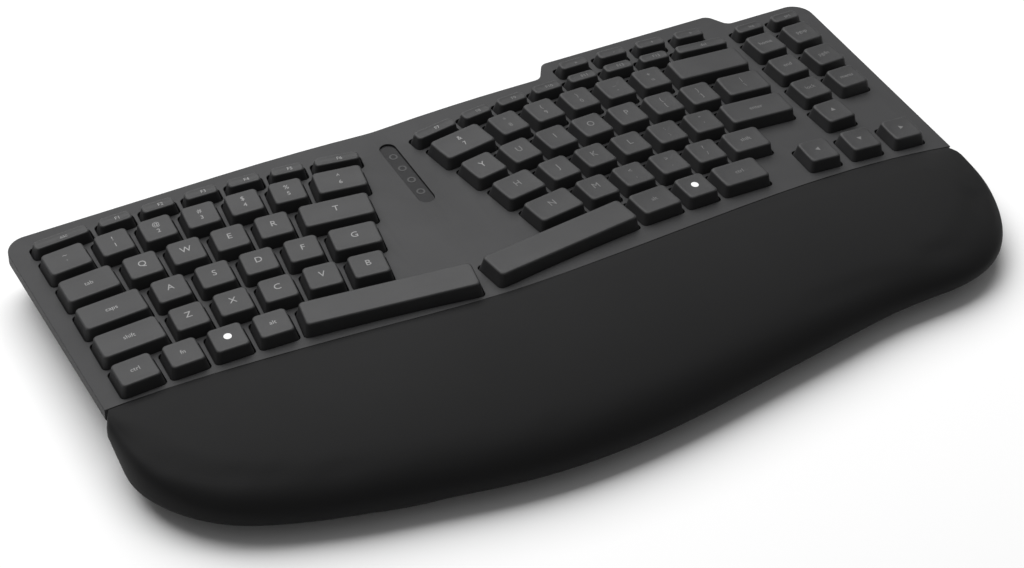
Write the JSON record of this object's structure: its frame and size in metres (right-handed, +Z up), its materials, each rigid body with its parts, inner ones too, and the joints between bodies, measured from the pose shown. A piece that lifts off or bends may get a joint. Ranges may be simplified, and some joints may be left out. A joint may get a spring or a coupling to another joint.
{
  "type": "tenkeyless keyboard",
  "caption": "One-piece ergonomic keyboard with two splayed key fields on a crowned deck, a navigation block and a padded palm rest along the front.",
  "frame": {"origin": "on the desk under the middle of the whole keyboard", "axes": "+X to the user's right, +Y away from the user, +Z up"},
  "size_m": [0.399, 0.2222, 0.0381],
  "materials": {
    "bar_steel": "spring wire",
    "board_green": "solder mask",
    "carrier_plastic": "moulded",
    "case_plastic": "fine moulded grain",
    "cell_wrap": "foil pouch",
    "cushion_cover": "soft matt covering over foam",
    "dark_window": "smoked",
    "deck_plastic": "fine matt grain",
    "dome_rubber": "silicone",
    "film": "printed polyester film",
    "foot_rubber": "soft matt",
    "guide_plastic": "moulded",
    "key_plastic": "fine matt grain, printed legends",
    "leg_plastic": "moulded",
    "ribbon": "polyester film",
    "screw_steel": "black oxide",
    "socket_metal": "drawn shell",
    "steel_sheet": "plain zinc-plated sheet",
    "switch_plastic": "moulded"
  },
  "bodies": {
    "chassis": {"backing_plate": "steel_sheet", "battery_cell": "cell_wrap", "bottom_case": "case_plastic", "case_screws": "screw_steel", "charging_socket": "socket_metal", "circuit_board": "board_green", "indicator_window": "dark_window", "key_guide_plate": "guide_plastic", "membrane_circuit": "film", "palm_rest_carrier": "carrier_plastic", "palm_rest_cushion": "cushion_cover", "ribbon_cable": "ribbon", "rubber_dome_sheet": "dome_rubber", "rubber_feet": "foot_rubber", "top_cover": "deck_plastic"},
    "cap_6": {"key_6": "key_plastic"},
    "cap_7": {"key_7": "key_plastic"},
    "cap_arrow_up": {"key_arrow_up": "key_plastic"},
    "cap_b": {"key_b": "key_plastic"},
    "cap_backquote": {"key_backquote": "key_plastic"},
    "cap_backslash": {"key_backslash": "key_plastic"},
    "cap_backspace": {"key_backspace": "key_plastic"},
    "cap_caps_lock": {"key_caps_lock": "key_plastic"},
    "cap_control_left": {"key_control_left": "key_plastic"},
    "cap_enter": {"key_enter": "key_plastic"},
    "cap_escape": {"key_escape": "key_plastic"},
    "cap_f6": {"key_f6": "key_plastic"},
    "cap_f7": {"key_f7": "key_plastic"},
    "cap_g": {"key_g": "key_plastic"},
    "cap_h": {"key_h": "key_plastic"},
    "cap_n": {"key_n": "key_plastic"},
    "cap_shift_left": {"key_shift_left": "key_plastic"},
    "cap_shift_right": {"key_shift_right": "key_plastic"},
    "cap_space_left": {"key_space_left": "key_plastic", "stabiliser_bar_left": "bar_steel"},
    "cap_space_right": {"key_space_right": "key_plastic", "stabiliser_bar_right": "bar_steel"},
    "cap_t": {"key_t": "key_plastic"},
    "cap_tab": {"key_tab": "key_plastic"},
    "cap_wide_function": {"key_wide_function": "key_plastic"},
    "cap_y": {"key_y": "key_plastic"},
    "row_1_to_5": {"keys_1_to_5": "key_plastic"},
    "row_8_to_equals": {"keys_8_to_equals": "key_plastic"},
    "row_a_to_f": {"keys_a_to_f": "key_plastic"},
    "row_arrow_row": {"keys_arrow_row": "key_plastic"},
    "row_f1_to_f5": {"keys_f1_to_f5": "key_plastic"},
    "row_f8_to_f12": {"keys_f8_to_f12": "key_plastic"},
    "row_j_to_quote": {"keys_j_to_quote": "key_plastic"},
    "row_m_to_slash": {"keys_m_to_slash": "key_plastic"},
    "row_media": {"keys_media": "key_plastic"},
    "row_modifiers_left": {"keys_modifiers_left": "key_plastic"},
    "row_modifiers_right": {"keys_modifiers_right": "key_plastic"},
    "row_nav_six": {"keys_nav_six": "key_plastic"},
    "row_nav_top": {"keys_nav_top": "key_plastic"},
    "row_q_to_r": {"keys_q_to_r": "key_plastic"},
    "row_u_to_bracket": {"keys_u_to_bracket": "key_plastic"},
    "row_z_to_v": {"keys_z_to_v": "key_plastic"},
    "leg_left": {"tilt_leg_left": "leg_plastic"},
    "leg_right": {"tilt_leg_right": "leg_plastic"},
    "switch_knob": {"power_switch": "switch_plastic"}
  },
  "joints": [
    {"name": "fold_leg_left", "type": "hinge", "parent": "chassis", "child": "leg_left", "pos_m": [-0.161, 0.08666, 0.0038], "axis": [0.0698, 0.9976, 0], "range_deg": [0, 88]},
    {"name": "fold_leg_right", "type": "hinge", "parent": "chassis", "child": "leg_right", "pos_m": [0.117, 0.0882, 0.0038], "axis": [0.0698, -0.9976, 0], "range_deg": [0, 88]},
    {"name": "slide_power", "type": "slide", "parent": "chassis", "child": "switch_knob", "axis": [1, 0, 0], "range_m": [0, 0.004]},
    {"name": "press_6", "type": "slide", "parent": "chassis", "child": "cap_6", "axis": [0.0284, 0, -0.9996], "range_m": [0, 0.003], "stiffness_N_per_m": 100, "springref_m": -0.003, "deforming": ["rubber_dome_sheet"]},
    {"name": "press_7", "type": "slide", "parent": "chassis", "child": "cap_7", "axis": [-0.0303, 0, -0.9995], "range_m": [0, 0.003], "stiffness_N_per_m": 100, "springref_m": -0.003, "deforming": ["rubber_dome_sheet"]},
    {"name": "press_arrow_up", "type": "slide", "parent": "chassis", "child": "cap_arrow_up", "axis": [-0.0698, 0, -0.9976], "range_m": [0, 0.003], "stiffness_N_per_m": 100, "springref_m": -0.003, "deforming": ["rubber_dome_sheet"]},
    {"name": "press_b", "type": "slide", "parent": "chassis", "child": "cap_b", "axis": [0.0415, 0, -0.9991], "range_m": [0, 0.003], "stiffness_N_per_m": 100, "springref_m": -0.003, "deforming": ["rubber_dome_sheet"]},
    {"name": "press_backquote", "type": "slide", "parent": "chassis", "child": "cap_backquote", "axis": [0.0698, 0, -0.9976], "range_m": [0, 0.003], "stiffness_N_per_m": 100, "springref_m": -0.003, "deforming": ["rubber_dome_sheet"]},
    {"name": "press_backslash", "type": "slide", "parent": "chassis", "child": "cap_backslash", "axis": [-0.0698, 0, -0.9976], "range_m": [0, 0.003], "stiffness_N_per_m": 100, "springref_m": -0.003, "deforming": ["rubber_dome_sheet"]},
    {"name": "press_backspace", "type": "slide", "parent": "chassis", "child": "cap_backspace", "axis": [-0.0698, 0, -0.9976], "range_m": [0, 0.003], "stiffness_N_per_m": 100, "springref_m": -0.003, "deforming": ["rubber_dome_sheet"]},
    {"name": "press_caps_lock", "type": "slide", "parent": "chassis", "child": "cap_caps_lock", "axis": [0.0698, 0, -0.9976], "range_m": [0, 0.003], "stiffness_N_per_m": 100, "springref_m": -0.003, "deforming": ["rubber_dome_sheet"]},
    {"name": "press_control_left", "type": "slide", "parent": "chassis", "child": "cap_control_left", "axis": [0.0698, 0, -0.9976], "range_m": [0, 0.003], "stiffness_N_per_m": 100, "springref_m": -0.003, "deforming": ["rubber_dome_sheet"]},
    {"name": "press_enter", "type": "slide", "parent": "chassis", "child": "cap_enter", "axis": [-0.0698, 0, -0.9976], "range_m": [0, 0.003], "stiffness_N_per_m": 100, "springref_m": -0.003, "deforming": ["rubber_dome_sheet"]},
    {"name": "press_escape", "type": "slide", "parent": "chassis", "child": "cap_escape", "axis": [0.0698, 0, -0.9976], "range_m": [0, 0.003], "stiffness_N_per_m": 100, "springref_m": -0.003, "deforming": ["rubber_dome_sheet"]},
    {"name": "press_f6", "type": "slide", "parent": "chassis", "child": "cap_f6", "axis": [0.0233, 0, -0.9997], "range_m": [0, 0.003], "stiffness_N_per_m": 100, "springref_m": -0.003, "deforming": ["rubber_dome_sheet"]},
    {"name": "press_f7", "type": "slide", "parent": "chassis", "child": "cap_f7", "axis": [-0.0238, 0, -0.9997], "range_m": [0, 0.003], "stiffness_N_per_m": 100, "springref_m": -0.003, "deforming": ["rubber_dome_sheet"]},
    {"name": "press_g", "type": "slide", "parent": "chassis", "child": "cap_g", "axis": [0.0387, 0, -0.9993], "range_m": [0, 0.003], "stiffness_N_per_m": 100, "springref_m": -0.003, "deforming": ["rubber_dome_sheet"]},
    {"name": "press_h", "type": "slide", "parent": "chassis", "child": "cap_h", "axis": [-0.038, 0, -0.9993], "range_m": [0, 0.003], "stiffness_N_per_m": 100, "springref_m": -0.003, "deforming": ["rubber_dome_sheet"]},
    {"name": "press_n", "type": "slide", "parent": "chassis", "child": "cap_n", "axis": [-0.045, 0, -0.999], "range_m": [0, 0.003], "stiffness_N_per_m": 100, "springref_m": -0.003, "deforming": ["rubber_dome_sheet"]},
    {"name": "press_shift_left", "type": "slide", "parent": "chassis", "child": "cap_shift_left", "axis": [0.0698, 0, -0.9976], "range_m": [0, 0.003], "stiffness_N_per_m": 100, "springref_m": -0.003, "deforming": ["rubber_dome_sheet"]},
    {"name": "press_shift_right", "type": "slide", "parent": "chassis", "child": "cap_shift_right", "axis": [-0.0698, 0, -0.9976], "range_m": [0, 0.003], "stiffness_N_per_m": 100, "springref_m": -0.003, "deforming": ["rubber_dome_sheet"]},
    {"name": "press_space_left", "type": "slide", "parent": "chassis", "child": "cap_space_left", "axis": [0.0421, 0, -0.9991], "range_m": [0, 0.003], "stiffness_N_per_m": 100, "springref_m": -0.003, "deforming": ["rubber_dome_sheet"]},
    {"name": "press_space_right", "type": "slide", "parent": "chassis", "child": "cap_space_right", "axis": [-0.037, 0, -0.9993], "range_m": [0, 0.003], "stiffness_N_per_m": 100, "springref_m": -0.003, "deforming": ["rubber_dome_sheet"]},
    {"name": "press_t", "type": "slide", "parent": "chassis", "child": "cap_t", "axis": [0.0382, 0, -0.9993], "range_m": [0, 0.003], "stiffness_N_per_m": 100, "springref_m": -0.003, "deforming": ["rubber_dome_sheet"]},
    {"name": "press_tab", "type": "slide", "parent": "chassis", "child": "cap_tab", "axis": [0.0698, 0, -0.9976], "range_m": [0, 0.003], "stiffness_N_per_m": 100, "springref_m": -0.003, "deforming": ["rubber_dome_sheet"]},
    {"name": "press_wide_function", "type": "slide", "parent": "chassis", "child": "cap_wide_function", "axis": [-0.0698, 0, -0.9976], "range_m": [0, 0.003], "stiffness_N_per_m": 100, "springref_m": -0.003, "deforming": ["rubber_dome_sheet"]},
    {"name": "press_y", "type": "slide", "parent": "chassis", "child": "cap_y", "axis": [-0.0307, 0, -0.9995], "range_m": [0, 0.003], "stiffness_N_per_m": 100, "springref_m": -0.003, "deforming": ["rubber_dome_sheet"]},
    {"name": "press_1_to_5", "type": "slide", "parent": "chassis", "child": "row_1_to_5", "axis": [0.066, 0, -0.9978], "range_m": [0, 0.003], "stiffness_N_per_m": 500, "springref_m": -0.003, "deforming": ["rubber_dome_sheet"]},
    {"name": "press_8_to_equals", "type": "slide", "parent": "chassis", "child": "row_8_to_equals", "axis": [-0.0668, 0, -0.9978], "range_m": [0, 0.003], "stiffness_N_per_m": 500, "springref_m": -0.003, "deforming": ["rubber_dome_sheet"]},
    {"name": "press_a_to_f", "type": "slide", "parent": "chassis", "child": "row_a_to_f", "axis": [0.0675, 0, -0.9977], "range_m": [0, 0.003], "stiffness_N_per_m": 400, "springref_m": -0.003, "deforming": ["rubber_dome_sheet"]},
    {"name": "press_arrow_row", "type": "slide", "parent": "chassis", "child": "row_arrow_row", "axis": [-0.0698, 0, -0.9976], "range_m": [0, 0.003], "stiffness_N_per_m": 300, "springref_m": -0.003, "deforming": ["rubber_dome_sheet"]},
    {"name": "press_f1_to_f5", "type": "slide", "parent": "chassis", "child": "row_f1_to_f5", "axis": [0.0636, 0, -0.998], "range_m": [0, 0.003], "stiffness_N_per_m": 500, "springref_m": -0.003, "deforming": ["rubber_dome_sheet"]},
    {"name": "press_f8_to_f12", "type": "slide", "parent": "chassis", "child": "row_f8_to_f12", "axis": [-0.0649, 0, -0.9979], "range_m": [0, 0.003], "stiffness_N_per_m": 600, "springref_m": -0.003, "deforming": ["rubber_dome_sheet"]},
    {"name": "press_j_to_quote", "type": "slide", "parent": "chassis", "child": "row_j_to_quote", "axis": [-0.0677, 0, -0.9977], "range_m": [0, 0.003], "stiffness_N_per_m": 500, "springref_m": -0.003, "deforming": ["rubber_dome_sheet"]},
    {"name": "press_m_to_slash", "type": "slide", "parent": "chassis", "child": "row_m_to_slash", "axis": [-0.0693, 0, -0.9976], "range_m": [0, 0.003], "stiffness_N_per_m": 400, "springref_m": -0.003, "deforming": ["rubber_dome_sheet"]},
    {"name": "press_media", "type": "slide", "parent": "chassis", "child": "row_media", "axis": [-0.0698, 0, -0.9976], "range_m": [0, 0.003], "stiffness_N_per_m": 400, "springref_m": -0.003, "deforming": ["rubber_dome_sheet"]},
    {"name": "press_modifiers_left", "type": "slide", "parent": "chassis", "child": "row_modifiers_left", "axis": [0.0698, 0, -0.9976], "range_m": [0, 0.003], "stiffness_N_per_m": 300, "springref_m": -0.003, "deforming": ["rubber_dome_sheet"]},
    {"name": "press_modifiers_right", "type": "slide", "parent": "chassis", "child": "row_modifiers_right", "axis": [-0.0698, 0, -0.9976], "range_m": [0, 0.003], "stiffness_N_per_m": 300, "springref_m": -0.003, "deforming": ["rubber_dome_sheet"]},
    {"name": "press_nav_six", "type": "slide", "parent": "chassis", "child": "row_nav_six", "axis": [-0.0698, 0, -0.9976], "range_m": [0, 0.003], "stiffness_N_per_m": 600, "springref_m": -0.003, "deforming": ["rubber_dome_sheet"]},
    {"name": "press_nav_top", "type": "slide", "parent": "chassis", "child": "row_nav_top", "axis": [-0.0698, 0, -0.9976], "range_m": [0, 0.003], "stiffness_N_per_m": 200, "springref_m": -0.003, "deforming": ["rubber_dome_sheet"]},
    {"name": "press_q_to_r", "type": "slide", "parent": "chassis", "child": "row_q_to_r", "axis": [0.0686, 0, -0.9976], "range_m": [0, 0.003], "stiffness_N_per_m": 400, "springref_m": -0.003, "deforming": ["rubber_dome_sheet"]},
    {"name": "press_u_to_bracket", "type": "slide", "parent": "chassis", "child": "row_u_to_bracket", "axis": [-0.0663, 0, -0.9978], "range_m": [0, 0.003], "stiffness_N_per_m": 600, "springref_m": -0.003, "deforming": ["rubber_dome_sheet"]},
    {"name": "press_z_to_v", "type": "slide", "parent": "chassis", "child": "row_z_to_v", "axis": [0.0675, 0, -0.9977], "range_m": [0, 0.003], "stiffness_N_per_m": 400, "springref_m": -0.003, "deforming": ["rubber_dome_sheet"]}
  ]
}
